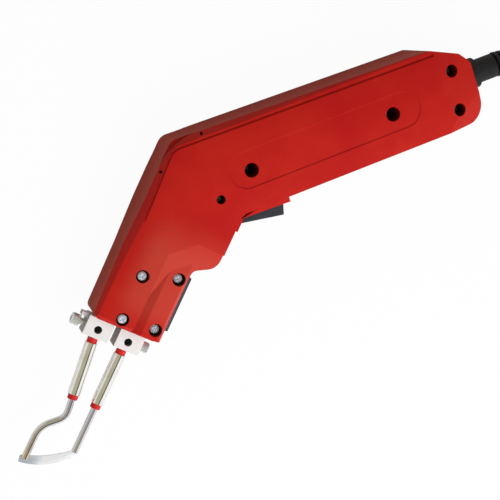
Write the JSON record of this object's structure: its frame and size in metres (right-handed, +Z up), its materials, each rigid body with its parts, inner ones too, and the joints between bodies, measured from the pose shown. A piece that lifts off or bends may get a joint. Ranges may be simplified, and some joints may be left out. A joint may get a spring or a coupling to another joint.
{
  "type": "electric hot knife",
  "caption": "Corded hot knife with a cranked red body, a trigger under the handle and a small curved blade held across two insulated electrode rods, lying on its side",
  "frame": {"origin": "centre of the tool's footprint on the table, without the cord's free length, coil, tie and plug", "axes": "+X along the handle towards the cord, +Y towards the spine of the handle, +Z up out of the left side that faces up"},
  "size_m": [0.4938, 0.1522, 0.04],
  "materials": {
    "left_shell": "glossy deep red glass-filled plastic, lightly worn",
    "right_shell": "glossy deep red glass-filled plastic, lightly worn",
    "nose_screws": "zinc-plated pan heads",
    "handle_screws": "dark oxide screws",
    "rear_screws": "dark oxide screws",
    "elbow_screw": "dark oxide screws",
    "nose_rest_pad": "dark grey satin plastic",
    "trigger": "dark grey satin plastic",
    "trigger_pin": "plated steel",
    "trigger_spring": "spring wire",
    "switch_body": "black moulding",
    "switch_plunger": "white plunger",
    "switch_terminals": "tinned brass",
    "transformer_core": "varnished laminations",
    "core_screws": "plated steel",
    "bobbin": "natural nylon",
    "bobbin_terminals": "tinned brass",
    "primary_winding": "enamelled copper wire",
    "secondary_turn": "bare copper bar",
    "upper_bus_bar": "bare copper bar",
    "lower_bus_bar": "bare copper bar",
    "mouth_insulator": "brown laminate",
    "upper_electrode_block": "nickel-plated, worn",
    "lower_electrode_block": "nickel-plated, worn",
    "upper_clamp_bolt": "plated cap screws",
    "lower_clamp_bolt": "plated cap screws",
    "upper_rod": "heated steel, dull",
    "lower_rod": "heated steel, dull",
    "upper_sleeve": "red silicone",
    "lower_sleeve": "red silicone",
    "upper_tube": "turned steel",
    "lower_tube": "turned steel",
    "blade": "ground steel with heat tint",
    "thermal_fuse": "cream ceramic",
    "live_lead": "brown insulation",
    "switched_lead": "brown insulation",
    "fuse_lead": "brown insulation",
    "neutral_lead": "blue insulation",
    "cord_sheath": "black rubber",
    "cord_clamp": "black nylon",
    "cord_clamp_screws": "plated steel",
    "strain_relief": "black rubber",
    "cord": "black rubber",
    "cord_coil": "black rubber",
    "coil_tie": "woven strap",
    "plug_body": "black moulded rubber",
    "plug_pins": "nickel-plated brass"
  },
  "bodies": {
    "body": {"left_shell": "left_shell", "right_shell": "right_shell", "nose_screws": "nose_screws", "handle_screws": "handle_screws", "rear_screws": "rear_screws", "elbow_screw": "elbow_screw", "nose_rest_pad": "nose_rest_pad", "trigger_pin": "trigger_pin", "trigger_spring": "trigger_spring", "switch_body": "switch_body", "switch_terminals": "switch_terminals", "transformer_core": "transformer_core", "core_screws": "core_screws", "bobbin": "bobbin", "bobbin_terminals": "bobbin_terminals", "primary_winding": "primary_winding", "secondary_turn": "secondary_turn", "upper_bus_bar": "upper_bus_bar", "lower_bus_bar": "lower_bus_bar", "mouth_insulator": "mouth_insulator", "upper_electrode_block": "upper_electrode_block", "lower_electrode_block": "lower_electrode_block", "upper_rod": "upper_rod", "lower_rod": "lower_rod", "upper_sleeve": "upper_sleeve", "lower_sleeve": "lower_sleeve", "upper_tube": "upper_tube", "lower_tube": "lower_tube", "blade": "blade", "thermal_fuse": "thermal_fuse", "live_lead": "live_lead", "switched_lead": "switched_lead", "fuse_lead": "fuse_lead", "neutral_lead": "neutral_lead", "cord_sheath": "cord_sheath", "cord_clamp": "cord_clamp", "cord_clamp_screws": "cord_clamp_screws", "strain_relief": "strain_relief", "cord": "cord", "cord_coil": "cord_coil", "coil_tie": "coil_tie", "plug_body": "plug_body", "plug_pins": "plug_pins"},
    "trigger_lever": {"trigger": "trigger"},
    "plunger": {"switch_plunger": "switch_plunger"},
    "upper_bolt": {"upper_clamp_bolt": "upper_clamp_bolt"},
    "lower_bolt": {"lower_clamp_bolt": "lower_clamp_bolt"}
  },
  "joints": [
    {"name": "trigger_hinge", "type": "hinge", "parent": "body", "child": "trigger_lever", "pos_m": [-0.0231, 0.02656, 0.02], "axis": [0, 0, 1], "range_deg": [0, 8], "stiffness_Nm_per_rad": 0.35, "springref_deg": -17.19, "deforming": ["trigger_spring"]},
    {"name": "plunger_slide", "type": "slide", "parent": "body", "child": "plunger", "axis": [0, 1, 0], "range_m": [0, 0.0044]},
    {"name": "upper_bolt_turn", "type": "hinge", "parent": "body", "child": "upper_bolt", "pos_m": [-0.11494, -0.01045, 0.02], "axis": [-0.7071, 0.7071, 0], "range_deg": [0, 360]},
    {"name": "lower_bolt_turn", "type": "hinge", "parent": "body", "child": "lower_bolt", "pos_m": [-0.10172, -0.02367, 0.02], "axis": [0.7071, -0.7071, 0], "range_deg": [0, 360]}
  ],
  "couplings": [
    {"joint": "plunger_slide", "follows": "trigger_hinge", "m_per_rad": 0.03}
  ]
}
